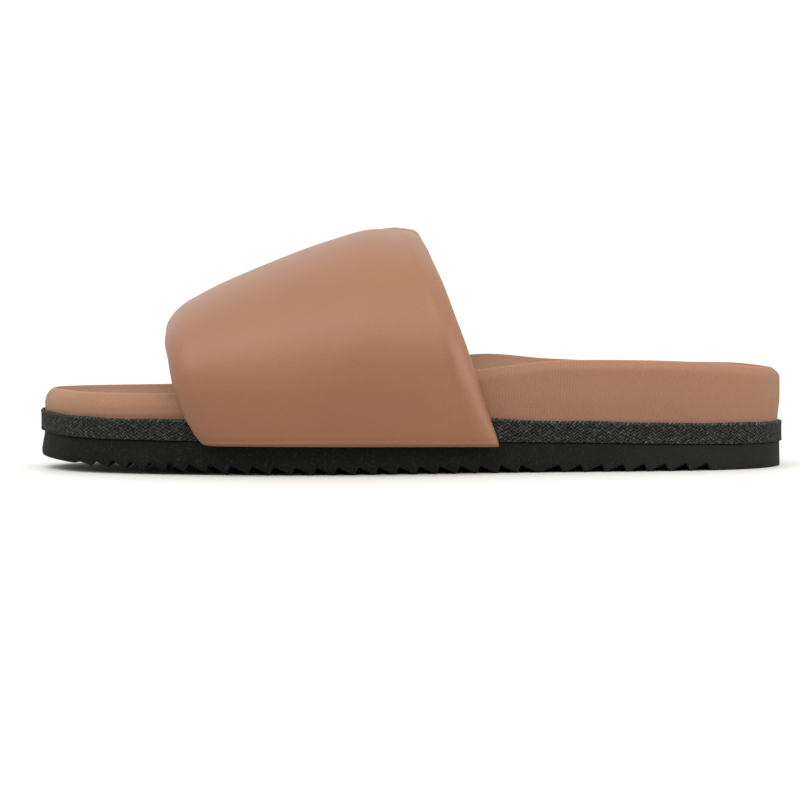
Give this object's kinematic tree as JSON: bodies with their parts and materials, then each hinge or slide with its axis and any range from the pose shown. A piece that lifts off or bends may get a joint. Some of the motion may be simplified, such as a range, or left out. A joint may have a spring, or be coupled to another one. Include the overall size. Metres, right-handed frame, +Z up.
{
  "type": "slide sandal",
  "caption": "Backless slide sandal for the left foot: padded strap over the instep, contoured footbed, woven tape and ripple outsole",
  "frame": {"origin": "on the floor under the middle of the sandal's bounding box", "axes": "+X runs from toe to heel, +Y is the big toe's side, +Z is up"},
  "size_m": [0.28, 0.1322, 0.0906],
  "materials": {
    "sole_rubber": "matte black rubber",
    "footbed_cover": "fine matt nubuck-like cover, tan",
    "woven_tape": "dark grey woven tape",
    "strap_leather": "smooth satin leather, tan"
  },
  "bodies": {
    "root": {"outsole": "sole_rubber", "footbed": "footbed_cover", "rand_tape": "woven_tape", "strap": "strap_leather"}
  },
  "joints": []
}
